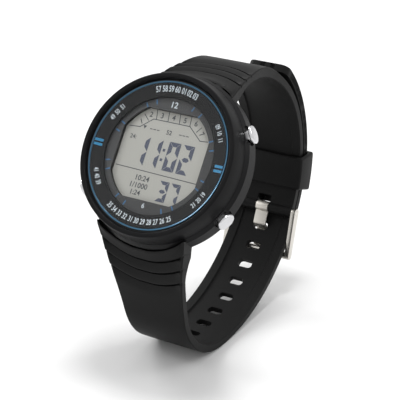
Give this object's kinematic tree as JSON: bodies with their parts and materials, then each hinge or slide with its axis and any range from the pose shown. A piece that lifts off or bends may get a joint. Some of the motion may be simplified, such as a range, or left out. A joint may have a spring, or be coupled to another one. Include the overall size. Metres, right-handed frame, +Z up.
{
  "type": "digital wristwatch",
  "caption": "Round black digital wristwatch standing on its buckled resin strap, with a blue ring round a grey display, chrome pushers, ribbed strap ends, a keeper loop and a pin buckle.",
  "frame": {"origin": "On the ground, under the middle of the whole watch: centre of the bounding box in X and Y, lowest point of the strap loop in Z.", "axes": "+X from 9 to 3 o'clock, parallel to the strap bars and the buckle pin. -Y is the side that the dial leans towards, +Z is up. The dial leans back 35.8 degrees from level."},
  "size_m": [0.049, 0.0861, 0.0838],
  "materials": {
    "case_plastic": "satin moulded",
    "bezel_plastic": "satin moulded",
    "crystal_glass": "clear polished",
    "trim_blue": "blue anodised",
    "seal_rubber": "soft moulded",
    "ring_plastic": "matte printed",
    "dial_plastic": "matte grey",
    "display_glass": "grey reflective display",
    "module_plastic": "white moulded",
    "guide_plastic": "frosted clear",
    "lamp_resin": "cast",
    "connector_rubber": "layered conductive",
    "board_laminate": "green coated laminate",
    "chip_resin": "moulded black",
    "can_steel": "plated",
    "cell_steel": "plated and stamped",
    "clip_steel": "spring sheet",
    "buzzer_brass": "rolled",
    "spring_steel": "drawn wire",
    "contact_brass": "gilt",
    "back_steel": "circular brushed",
    "pusher_chrome": "polished",
    "bar_steel": "drawn",
    "strap_rubber": "satin moulded",
    "buckle_steel": "polished, warm"
  },
  "bodies": {
    "watch": {"case_body": "case_plastic", "bezel_ring": "bezel_plastic", "crystal": "crystal_glass", "trim_ring": "trim_blue", "crystal_gasket": "seal_rubber", "minute_ring": "ring_plastic", "inner_dial": "dial_plastic", "lcd_panel": "display_glass", "module_frame": "module_plastic", "light_guide": "guide_plastic", "backlight_lamp": "lamp_resin", "connector_strips": "connector_rubber", "circuit_board": "board_laminate", "watch_chip": "chip_resin", "tuning_can": "can_steel", "cell_frame": "module_plastic", "coin_cell": "cell_steel", "cell_clip": "clip_steel", "buzzer_disc": "buzzer_brass", "buzzer_spring": "spring_steel", "switch_contacts": "contact_brass", "case_back": "back_steel", "case_back_gasket": "seal_rubber", "pusher_seals": "seal_rubber", "lower_strap_bar": "bar_steel", "upper_strap_bar": "bar_steel", "long_strap": "strap_rubber", "short_strap": "strap_rubber", "buckle_pin": "buckle_steel", "light_pusher_spring": "spring_steel", "reset_pusher_spring": "spring_steel", "mode_pusher_spring": "spring_steel", "start_pusher_spring": "spring_steel"},
    "light_button": {"light_pusher": "pusher_chrome", "light_pusher_clip": "clip_steel"},
    "reset_button": {"reset_pusher": "pusher_chrome", "reset_pusher_clip": "clip_steel"},
    "mode_button": {"mode_pusher": "pusher_chrome", "mode_pusher_clip": "clip_steel"},
    "start_button": {"start_pusher": "pusher_chrome", "start_pusher_clip": "clip_steel"},
    "buckle": {"buckle_frame": "buckle_steel"},
    "tongue": {"buckle_tongue": "buckle_steel"},
    "keeper_loop": {"keeper": "strap_rubber"}
  },
  "joints": [
    {"name": "light_press", "type": "slide", "parent": "watch", "child": "light_button", "axis": [-0.8788, -0.2791, -0.387], "range_m": [0, 0.0009], "stiffness_N_per_m": 600, "springref_m": -0.0004, "deforming": ["light_pusher_spring"]},
    {"name": "reset_press", "type": "slide", "parent": "watch", "child": "reset_button", "axis": [-0.8788, 0.2791, 0.387], "range_m": [0, 0.0009], "stiffness_N_per_m": 600, "springref_m": -0.0004, "deforming": ["reset_pusher_spring"]},
    {"name": "mode_press", "type": "slide", "parent": "watch", "child": "mode_button", "axis": [0.8788, 0.2791, 0.387], "range_m": [0, 0.0009], "stiffness_N_per_m": 600, "springref_m": -0.0004, "deforming": ["mode_pusher_spring"]},
    {"name": "start_press", "type": "slide", "parent": "watch", "child": "start_button", "axis": [0.8788, -0.2791, -0.387], "range_m": [0, 0.0009], "stiffness_N_per_m": 600, "springref_m": -0.0004, "deforming": ["start_pusher_spring"]},
    {"name": "buckle_swing", "type": "hinge", "parent": "watch", "child": "buckle", "pos_m": [0, 0.03234, 0.0261], "axis": [1, 0, 0], "range_deg": [0, 5]},
    {"name": "tongue_swing", "type": "hinge", "parent": "buckle", "child": "tongue", "pos_m": [0, 0.03234, 0.0261], "axis": [1, 0, 0], "range_deg": [0, 5]},
    {"name": "keeper_slide", "type": "hinge", "parent": "watch", "child": "keeper_loop", "pos_m": [0, 0.00376, 0.04395], "axis": [1, 0, 0], "range_deg": [-8, 20]}
  ]
}
